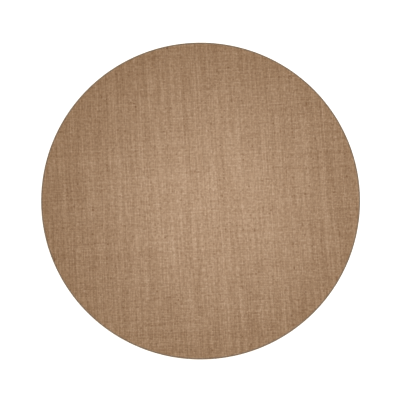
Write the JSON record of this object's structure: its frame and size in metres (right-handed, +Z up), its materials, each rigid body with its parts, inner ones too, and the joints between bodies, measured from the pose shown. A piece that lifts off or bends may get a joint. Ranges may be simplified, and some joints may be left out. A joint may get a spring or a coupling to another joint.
{
  "type": "round sisal rug",
  "caption": "Flat round floor rug of plain-woven natural sisal, its cut rim overcast all round with matching thread.",
  "frame": {"origin": "centre of the round underside, on the floor", "axes": "+Z up through the rug's thickness; +Y along the warp yarns, whose streaks run long; +X along the weft"},
  "size_m": [1.2, 1.2, 0.0066],
  "materials": {
    "sisal_weave": "dry, matt plain weave of thick sisal yarn in mottled tan, with fine lighter and darker streaks along the warp",
    "edge_thread": "close overcast wraps of a slightly darker, greyer brown thread"
  },
  "bodies": {
    "root": {"sisal_panel": "sisal_weave", "edge_whipping": "edge_thread"}
  },
  "joints": []
}
